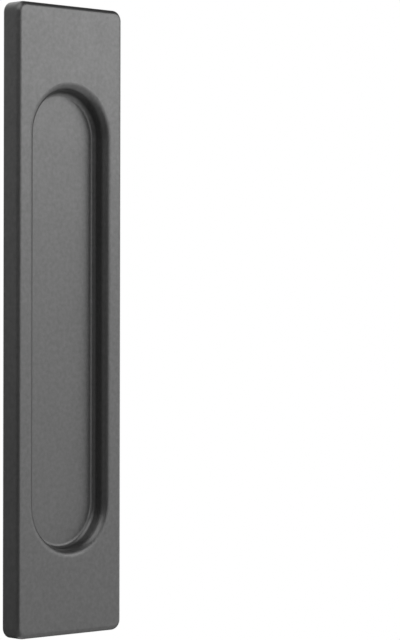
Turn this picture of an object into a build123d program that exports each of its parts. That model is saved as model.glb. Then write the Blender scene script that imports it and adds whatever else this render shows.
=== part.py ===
from build123d import *
import os

# Self-adhesive pull for a sliding door: a slim metal plate with a finger recess, stuck on by foam tape.
# It stands as on a door: +Z runs up its length and +X across it. Its front faces -Y.
# The origin is the centre of the tape's adhesive face, which lies in the plane y = 0 and faces +Y.
# All sizes are in millimetres.

# Outline of the plate
LENGTH = 150.0
WIDTH = 33.0
CORNER_RADIUS = 2.5
BODY_THICKNESS = 5.4
FRONT_EDGE_RADIUS = 1.25
REAR_EDGE_RADIUS = 0.3

# Finger recess, its margins measured in the front plane where the straight wall would reach it
SIDE_MARGIN = 5.35
END_MARGIN = 20.05
FLOOR_THICKNESS = 1.35
WALL_DRAFT = 6.0
LIP_RADIUS = 1.9
COVE_RADIUS = 1.15
LEAST_STRAIGHT_WALL = 0.3

# Foam tape
TAPE_THICKNESS = 0.8
TAPE_INSET = 1.0

# Worked out from the sizes above
recess_width = WIDTH - 2 * SIDE_MARGIN
recess_length = LENGTH - 2 * END_MARGIN
recess_depth = BODY_THICKNESS - FLOOR_THICKNESS
cove_radius = min(COVE_RADIUS, recess_depth - LIP_RADIUS - LEAST_STRAIGHT_WALL)

# Planes parallel to the door, with X across, Z up and the normal towards the room
door_plane = Plane.XZ
plate_rear_plane = door_plane.offset(TAPE_THICKNESS)
plate_front_plane = plate_rear_plane.offset(BODY_THICKNESS)


def rounded_plate():
    """The plate before the recess: rounded corners, a soft front edge and a barely broken rear edge."""
    outline = RectangleRounded(WIDTH, LENGTH, CORNER_RADIUS)
    plate = extrude(plate_rear_plane * outline, BODY_THICKNESS)
    faces_front_to_rear = plate.faces().filter_by(Axis.Y).sort_by(Axis.Y)
    plate = fillet(faces_front_to_rear[0].outer_wire().edges(), FRONT_EDGE_RADIUS)
    faces_front_to_rear = plate.faces().filter_by(Axis.Y).sort_by(Axis.Y)
    return fillet(faces_front_to_rear[-1].outer_wire().edges(), REAR_EDGE_RADIUS)


def recess_cutter():
    """The round-ended pocket, with a little draft on its wall and a cove that joins it to the flat floor."""
    outline = SlotOverall(recess_length, recess_width, rotation=90)
    cutter = extrude(plate_front_plane * outline, -recess_depth, taper=WALL_DRAFT)
    floor = cutter.faces().filter_by(Axis.Y).sort_by(Axis.Y)[-1]
    return fillet(floor.outer_wire().edges(), cove_radius)


def pull_body():
    """The one-piece metal pull: the plate, its finger recess and the rolled lip round the recess."""
    body = rounded_plate() - recess_cutter()
    front_face = body.faces().filter_by(Axis.Y).sort_by(Axis.Y)[0]
    return fillet(front_face.inner_wires()[0].edges(), LIP_RADIUS)


def adhesive_tape():
    """The die-cut foam tape on the plate's flat rear, set in from its outline all round."""
    outline = RectangleRounded(
        WIDTH - 2 * TAPE_INSET,
        LENGTH - 2 * TAPE_INSET,
        CORNER_RADIUS - TAPE_INSET,
    )
    return extrude(door_plane * outline, TAPE_THICKNESS)


pieces = {
    "pull_body": pull_body(),
    "adhesive_tape": adhesive_tape(),
}

os.makedirs("parts", exist_ok=True)
for name, piece in pieces.items():
    piece.label = name
    export_step(piece, f"parts/{name}.step")
    size = piece.bounding_box().size
    print(f"{name}: {size.X:.2f} x {size.Y:.2f} x {size.Z:.2f} mm, {piece.volume / 1000:.2f} cubic centimetres")
print(f"recess: {recess_width:.1f} x {recess_length:.1f} mm, {recess_depth:.1f} mm deep, cove {cove_radius:.2f} mm")
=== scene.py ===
# %% [markdown]
# # A stick-on pull for a sliding door
#
# The pull is one slim plate of aluminium with a round-ended finger recess, and a sheet of foam tape
# on its flat back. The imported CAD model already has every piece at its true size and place, so this
# file only adds what the eye needs: the finish of each surface, the light and the camera. Lengths are
# in metres, unless a name ends in MM.

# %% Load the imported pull
import math

import bpy
from mathutils import Matrix, Vector


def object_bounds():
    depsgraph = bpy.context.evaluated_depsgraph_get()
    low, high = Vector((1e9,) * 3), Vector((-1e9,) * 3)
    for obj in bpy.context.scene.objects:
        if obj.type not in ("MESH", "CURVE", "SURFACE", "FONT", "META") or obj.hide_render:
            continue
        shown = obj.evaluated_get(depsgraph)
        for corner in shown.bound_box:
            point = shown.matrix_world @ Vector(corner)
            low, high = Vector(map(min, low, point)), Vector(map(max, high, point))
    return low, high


MM_PER_METRE = 1000

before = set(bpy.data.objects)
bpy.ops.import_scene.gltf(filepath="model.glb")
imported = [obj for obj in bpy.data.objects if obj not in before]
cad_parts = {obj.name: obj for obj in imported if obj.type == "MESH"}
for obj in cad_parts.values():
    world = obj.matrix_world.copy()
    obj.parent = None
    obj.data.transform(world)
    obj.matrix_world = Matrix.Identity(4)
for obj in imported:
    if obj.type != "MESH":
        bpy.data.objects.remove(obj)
cad_low, cad_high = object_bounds()
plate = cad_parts["pull_body"]
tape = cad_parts["adhesive_tape"]
print("Pull size in millimetres:", [round(MM_PER_METRE * side, 1) for side in cad_high - cad_low])

# %% [markdown]
# ## Helpers
#
# Colours are written as the hex values that a screen shows, and light is mixed in linear values,
# so one function turns hex into linear. Every pattern below starts from a real size in millimetres,
# and a noise texture wants features per metre, so a second function turns one into the other. A third
# adds one node with its settings and links, which keeps each material readable as a list of steps, and
# a fourth starts a material with no nodes in it.

# %% Colour and scale helpers
WHITE = "#FFFFFF"
MIDDLE_GREY = "#808080"


def linear_from_hex(hex_colour):
    """Linear red, green, blue and alpha of an sRGB hex colour, by the formula of the sRGB standard."""
    channels = [int(hex_colour[i:i + 2], 16) / 255 for i in (1, 3, 5)]
    linear = [c / 12.92 if c <= 0.04045 else ((c + 0.055) / 1.055) ** 2.4 for c in channels]
    return (*linear, 1.0)


def per_metre(feature_mm):
    """Texture scale that makes a feature of this many millimetres."""
    return MM_PER_METRE / feature_mm


print("A screen grey of", MIDDLE_GREY, "is", round(linear_from_hex(MIDDLE_GREY)[0], 3), "in linear light")


# %% Node helpers
def add_node(tree, kind, settings=None, links=None):
    """Adds a node, sets its sockets and properties and links its sockets, each by name or number."""
    node = tree.nodes.new(kind)
    for key, value in (settings or {}).items():
        if isinstance(key, int) or key in node.inputs:
            node.inputs[key].default_value = value
        else:
            setattr(node, key, value)
    for key, source in (links or {}).items():
        tree.links.new(source, node.inputs[key])
    return node


def new_material(name):
    """An empty node material and its tree."""
    material = bpy.data.materials.new(name)
    material.use_nodes = True
    material.node_tree.nodes.clear()
    return material, material.node_tree


# %% [markdown]
# ## The plate: dark anodised aluminium, sand-blasted
#
# Sand blasting leaves a fine, even pebble of dents. Anodising then grows a clear film on the metal, and
# a dark grey dye sinks into it, a little less on the high points of the pebble. To the eye that is a
# metal with no lines or grain direction: its highlights are spread wide and soft, it has a fine speckle,
# and the dyed film scatters a little light by itself. It could be painted as a grey plastic, but then
# the shaded side would stay flat grey. A metal shader keeps the strong change of tone from face to side
# that the real one shows. One noise texture makes the pebble, and drives the tone and the bump
# together, because on the real one they have the same cause. A second, much broader one makes the
# gloss a little uneven. The index of refraction stays at its default, because a metal's colour already
# says how strongly it mirrors.

# %% Blasted and anodised aluminium
# The tones of the dye, and the metal's share of what is seen. The rest is the dyed film's scatter
DYED_LOW = "#838383"
DYED_HIGH = "#8F8F8F"
METAL_SHARE = 0.9

# The blasted pebble, drawn coarser than the real 0.2 mm so that it shows
PEBBLE_MM = 1.0
PEBBLE_DEPTH_MM = 0.02
PEBBLE_DETAIL = 3.0
PEBBLE_GRAIN = 0.6
DENT_STRENGTH = 0.25

# The gloss, a little uneven in clouds some millimetres wide
SMOOTH_ROUGHNESS = 0.37
DULL_ROUGHNESS = 0.40
CLOUD_MM = 7.0
CLOUD_DETAIL = 2.0

# Nearly all of a noise texture's values lie between these two
NOISE_LOW = 0.3
NOISE_HIGH = 0.7


def blasted_anodised_aluminium():
    """Dyed aluminium with a blasted pebble in its tone and bump, and soft clouds in its gloss."""
    material, tree = new_material("blasted_anodised_aluminium")
    place = add_node(tree, "ShaderNodeTexCoord")
    pebble = add_node(
        tree, "ShaderNodeTexNoise",
        {"Scale": per_metre(PEBBLE_MM), "Detail": PEBBLE_DETAIL, "Roughness": PEBBLE_GRAIN},
        {"Vector": place.outputs["Object"]},
    )
    dye = add_node(tree, "ShaderNodeValToRGB", links={"Fac": pebble.outputs["Fac"]})
    low_point, high_point = dye.color_ramp.elements
    low_point.position, low_point.color = NOISE_LOW, linear_from_hex(DYED_LOW)
    high_point.position, high_point.color = NOISE_HIGH, linear_from_hex(DYED_HIGH)
    clouds = add_node(
        tree, "ShaderNodeTexNoise",
        {"Scale": per_metre(CLOUD_MM), "Detail": CLOUD_DETAIL},
        {"Vector": place.outputs["Object"]},
    )
    roughness = add_node(
        tree, "ShaderNodeMapRange",
        {
            "From Min": NOISE_LOW,
            "From Max": NOISE_HIGH,
            "To Min": SMOOTH_ROUGHNESS,
            "To Max": DULL_ROUGHNESS,
        },
        {"Value": clouds.outputs["Fac"]},
    )
    dents = add_node(
        tree, "ShaderNodeBump",
        {"Strength": DENT_STRENGTH, "Distance": PEBBLE_DEPTH_MM / MM_PER_METRE},
        {"Height": pebble.outputs["Fac"]},
    )
    metal = add_node(
        tree, "ShaderNodeBsdfPrincipled",
        {"Metallic": METAL_SHARE},
        {
            "Base Color": dye.outputs["Color"],
            "Roughness": roughness.outputs["Result"],
            "Normal": dents.outputs["Normal"],
        },
    )
    add_node(tree, "ShaderNodeOutputMaterial", links={"Surface": metal.outputs["BSDF"]})
    return material


# %% [markdown]
# ## The tape: closed-cell acrylic foam
#
# The tape is a sheet of soft dark grey foam with a tacky film on both faces. Its cut edge shows tiny
# closed bubbles, and its outer face has a dull wet sheen. The bubbles could be cut into the mesh as real
# dents, but they are smaller than a pixel, so a bump is enough. The shader is that of a dull rubber,
# with the refraction of acrylic.

# %% Acrylic foam
FOAM_COLOUR = "#3E3F41"
FOAM_ROUGHNESS = 0.55
FOAM_IOR = 1.48

# The bubbles, drawn coarser than the real 0.1 mm so that they can show
BUBBLE_MM = 0.4
BUBBLE_DEPTH_MM = 0.04
BUBBLE_STRENGTH = 0.5


def acrylic_foam():
    """Dark foam with closed bubbles under a slightly shiny film."""
    material, tree = new_material("acrylic_foam")
    place = add_node(tree, "ShaderNodeTexCoord")
    bubbles = add_node(
        tree, "ShaderNodeTexVoronoi",
        {"Scale": per_metre(BUBBLE_MM)},
        {"Vector": place.outputs["Object"]},
    )
    pits = add_node(
        tree, "ShaderNodeBump",
        {"Strength": BUBBLE_STRENGTH, "Distance": BUBBLE_DEPTH_MM / MM_PER_METRE},
        {"Height": bubbles.outputs["Distance"]},
    )
    foam = add_node(
        tree, "ShaderNodeBsdfPrincipled",
        {"Base Color": linear_from_hex(FOAM_COLOUR), "Roughness": FOAM_ROUGHNESS, "IOR": FOAM_IOR},
        {"Normal": pits.outputs["Normal"]},
    )
    add_node(tree, "ShaderNodeOutputMaterial", links={"Surface": foam.outputs["BSDF"]})
    return material


# %% [markdown]
# ## Dressing the pieces
#
# The real plate is blasted and dyed as a whole, and the tape is foam right through, so each has a
# single finish all over. A piece could hold several materials and choose one for each face, but here
# it is enough to take its plain CAD material away and to give it a new one.

# %% Dress the two pieces
for piece, material in ((plate, blasted_anodised_aluminium()), (tape, acrylic_foam())):
    piece.data.materials.clear()
    piece.data.materials.append(material)
    print(piece.name, "is finished in", material.name)

# %% [markdown]
# ## The camera
#
# The photograph looks at the pull from its left. Its upright edges are parallel, so the camera is level,
# and its far edge is almost as tall as its near one, so the lens is long. The camera could be aimed by
# eye, but then the two pictures couldn't be laid over each other. So its turn, distance, lens, height
# and slight roll were worked out from the pull's corners and outlines on the photograph. The pull stands
# left of the picture's middle, so the camera is turned first and then moved sideways to its right,
# until it looks past the pull by that much.

# %% Camera at the photograph's viewpoint
VIEW_TURN = math.radians(43.8)
LENS_MM = 148.23
LONG_SIDE_MM = 36.0
VIEW_DISTANCE = 0.628
PULL_LEFT_OF_CENTRE = 0.03078
CAMERA_ABOVE_MIDDLE = 0.0001
CAMERA_ROLL = math.radians(0.11)
NEAREST_SEEN = 0.01

front_centre = Vector((0, cad_low.y, 0))
forward = Vector((math.sin(VIEW_TURN), math.cos(VIEW_TURN), 0))
to_right = Vector((math.cos(VIEW_TURN), -math.sin(VIEW_TURN), 0))
camera_place = front_centre - VIEW_DISTANCE * forward + PULL_LEFT_OF_CENTRE * to_right
camera_place.z += CAMERA_ABOVE_MIDDLE
upright = forward.to_track_quat("-Z", "Y").to_matrix().to_4x4()

camera_data = bpy.data.cameras.new("camera")
camera_data.lens = LENS_MM
camera_data.sensor_width = LONG_SIDE_MM
camera_data.clip_start = NEAREST_SEEN
camera = bpy.data.objects.new("camera", camera_data)
bpy.context.collection.objects.link(camera)
camera.matrix_world = Matrix.Translation(camera_place) @ upright @ Matrix.Rotation(CAMERA_ROLL, 4, "Z")
bpy.context.scene.camera = camera
print("The camera stands", VIEW_DISTANCE, "m from the pull")

# %% [markdown]
# ## The studio
#
# A metal shows what stands round it more than its own colour. On the photograph the front mirrors a
# soft lamp at the front right, the top left corner mirrors something pale, and the left side, the top
# edge and the walls of the recess mirror something dark. Lamps alone can't give that, because a metal
# side that faces away from them would mirror the white surroundings. So the pull stands in a white
# room, with photographers' cards round it and one soft lamp. The room could be a big white box, but its
# walls would need light of their own. A plain white world needs none, and it is the white background
# of the photograph too.
#
# Directions are written as the photographer would say them: degrees to the left of the plate's front,
# and degrees above the level of its middle.


# %% Directions round the pull
def toward(left_of_front, above):
    """The unit vector to a place so many degrees left of the plate's front and above its middle."""
    turn = math.radians(left_of_front)
    rise = math.radians(above)
    return Vector((-math.sin(turn) * math.cos(rise), -math.cos(turn) * math.cos(rise), math.sin(rise)))


print("The plate's front faces", tuple(round(part) for part in toward(0, 0)), "along X, Y and Z")

# %% White room
WHITE_STRENGTH = 1.0

scene = bpy.context.scene
scene.view_settings.view_transform = "Standard"
world = bpy.data.worlds.new("white_room")
scene.world = world
world.use_nodes = True
background = world.node_tree.nodes["Background"]
background.inputs["Color"].default_value = linear_from_hex(WHITE)
background.inputs["Strength"].default_value = WHITE_STRENGTH
print("The room glows at", WHITE_STRENGTH, "from all sides, where 1 is white")

# %% [markdown]
# ## The cards
#
# There are dark cards on the left, behind on the left and low down on the right and behind it, a grey
# pair at the front right, a black one above it and paler ones above on the left. The pair behind on the
# left is darker in its lower half, so the side of the plate gets darker from top to bottom. Real cards
# are boards that a lamp lights, and each could be built so, but then one lamp would set the tone of them
# all. A card that glows by itself has just the tone that is written. Each is bent round the pull, so
# that they all hang at one distance from it. The camera doesn't see them, as real ones stay out of the
# picture.

# %% How a card is made
CARD_REACH = 1.1
DEGREES_BETWEEN_POINTS = 5


def card_material(name, tone):
    """A plain card that glows evenly at this linear tone, in place of one that a lamp lights."""
    material, tree = new_material(name)
    glow = add_node(tree, "ShaderNodeEmission", {"Color": linear_from_hex(WHITE), "Strength": tone})
    add_node(tree, "ShaderNodeOutputMaterial", links={"Surface": glow.outputs["Emission"]})
    return material


def curved_card(name, tone, across, up):
    """A card bent round the pull, between two directions across and two directions up."""
    columns = range(across[0], across[1] + 1, DEGREES_BETWEEN_POINTS)
    rows = range(up[0], up[1] + 1, DEGREES_BETWEEN_POINTS)
    points = [CARD_REACH * toward(column, row) for row in rows for column in columns]
    wide = len(columns)
    first_corners = [row * wide + column for row in range(len(rows) - 1) for column in range(wide - 1)]
    squares = [(i, i + 1, i + wide + 1, i + wide) for i in first_corners]
    mesh = bpy.data.meshes.new(name)
    mesh.from_pydata(points, [], squares)
    mesh.materials.append(card_material(name, tone))
    card = bpy.data.objects.new(name, mesh)
    bpy.context.collection.objects.link(card)
    card.visible_camera = False
    card.visible_transmission = False
    print(name, "hangs", CARD_REACH, "m from the pull, tone", tone)


# %% Cards that the camera doesn't see
# Each card's tone, then from where to where it reaches: degrees left of the front, and degrees above
CARDS = {
    "dark_card_behind_left_low": (0.13, (90, 180), (-90, 0)),
    "dark_card_behind_left_high": (0.25, (90, 180), (0, 35)),
    "dark_card_behind_right": (0.05, (-180, -135), (-60, -15)),
    "dark_card_right_low": (0.20, (-135, -90), (-60, -15)),
    "dark_card_left_low": (0.16, (0, 90), (-90, -20)),
    "dark_card_left_high": (0.10, (60, 90), (-20, 25)),
    "dark_card_front_left_high": (0.06, (0, 60), (-20, 25)),
    "grey_card_front_low": (0.41, (-90, 0), (-90, -10)),
    "grey_card_front_high": (0.66, (-90, 0), (-10, 25)),
    "black_card_above_right": (0.06, (-140, 0), (25, 90)),
    "pale_card_above_left": (0.80, (0, 90), (25, 90)),
    "pale_card_above_behind": (0.50, (90, 180), (35, 90)),
}

for name, (tone, across, up) in CARDS.items():
    curved_card(name, tone, across, up)

# %% [markdown]
# ## The lamp
#
# On the photograph the front of the plate is brightest at its top and gets steadily darker downwards.
# A lamp far away would light it evenly, so this one hangs near, above and to the right. It is a round
# soft box, because a small bare bulb would draw narrow bright lines on the rounded edges. The watts of
# an area lamp don't say how bright it looks, so they are worked out from how bright its lit face is.

# %% Soft lamp
LAMP_LEFT_OF_FRONT = -42
LAMP_ABOVE = 22
LAMP_DISTANCE = 0.45
LAMP_ACROSS = 0.24
LAMP_BRIGHTNESS = 0.95

lamp_data = bpy.data.lights.new("lamp_front_right", "AREA")
lamp_data.shape = "DISK"
lamp_data.size = LAMP_ACROSS
# A flat face that looks evenly bright from every side gives pi x brightness x area
lit_area = math.pi * (LAMP_ACROSS / 2) ** 2
lamp_data.energy = math.pi * LAMP_BRIGHTNESS * lit_area
lamp = bpy.data.objects.new("lamp_front_right", lamp_data)
bpy.context.collection.objects.link(lamp)
lamp_direction = toward(LAMP_LEFT_OF_FRONT, LAMP_ABOVE)
facing_pull = lamp_direction.to_track_quat("Z", "Y").to_matrix().to_4x4()
lamp.matrix_world = Matrix.Translation(LAMP_DISTANCE * lamp_direction) @ facing_pull
lamp.visible_camera = False
print(lamp.name, "is", LAMP_ACROSS, "m across and gives", round(lamp_data.energy, 2), "W")

# %% [markdown]
# ## The floor
#
# A door pull hangs a little over a metre above the floor, so the pale floor lies that far below. It
# could be a table top close under the pull, but so far down even a camera that looks up at the pull
# still stands above it. It is round, so that no corner of it shows. Its paint alone would be grey where
# little light falls, so to the camera and in reflections it is mostly plain white, and the rest is
# white paint that keeps the shadow.

# %% Floor paint
FLOOR_COLOUR = "#F4F4F4"
FLOOR_WHITE_SHARE = 0.85


def pale_floor_paint():
    """White paint that keeps the shadow, mostly covered by plain white where it is seen or mirrored."""
    material, tree = new_material("pale_floor")
    rays = add_node(tree, "ShaderNodeLightPath")
    seen = add_node(
        tree, "ShaderNodeMath",
        {"operation": "MAXIMUM"},
        {0: rays.outputs["Is Camera Ray"], 1: rays.outputs["Is Glossy Ray"]},
    )
    seen_through = add_node(
        tree, "ShaderNodeMath",
        {"operation": "MAXIMUM"},
        {0: seen.outputs["Value"], 1: rays.outputs["Is Transmission Ray"]},
    )
    white_share = add_node(
        tree, "ShaderNodeMath",
        {"operation": "MULTIPLY", 1: FLOOR_WHITE_SHARE},
        {0: seen_through.outputs["Value"]},
    )
    paint = add_node(tree, "ShaderNodeBsdfDiffuse", {"Color": linear_from_hex(FLOOR_COLOUR)})
    plain_white = {"Color": linear_from_hex(WHITE), "Strength": WHITE_STRENGTH}
    white = add_node(tree, "ShaderNodeEmission", plain_white)
    both = add_node(
        tree, "ShaderNodeMixShader",
        links={"Fac": white_share.outputs["Value"], 1: paint.outputs["BSDF"], 2: white.outputs["Emission"]},
    )
    add_node(tree, "ShaderNodeOutputMaterial", links={"Surface": both.outputs["Shader"]})
    return material


# %% Pale floor
FLOOR_DROP = 1.2
FLOOR_REACH = 6.0
FLOOR_CORNERS = 96

angles = [math.tau * step / FLOOR_CORNERS for step in range(FLOOR_CORNERS)]
floor_mesh = bpy.data.meshes.new("floor")
floor_mesh.from_pydata(
    [(FLOOR_REACH * math.cos(a), FLOOR_REACH * math.sin(a), -FLOOR_DROP) for a in angles],
    [],
    [list(range(FLOOR_CORNERS))],
)
floor_mesh.materials.append(pale_floor_paint())
floor = bpy.data.objects.new("floor", floor_mesh)
bpy.context.collection.objects.link(floor)
print("The floor lies", FLOOR_DROP, "m below the middle of the pull")
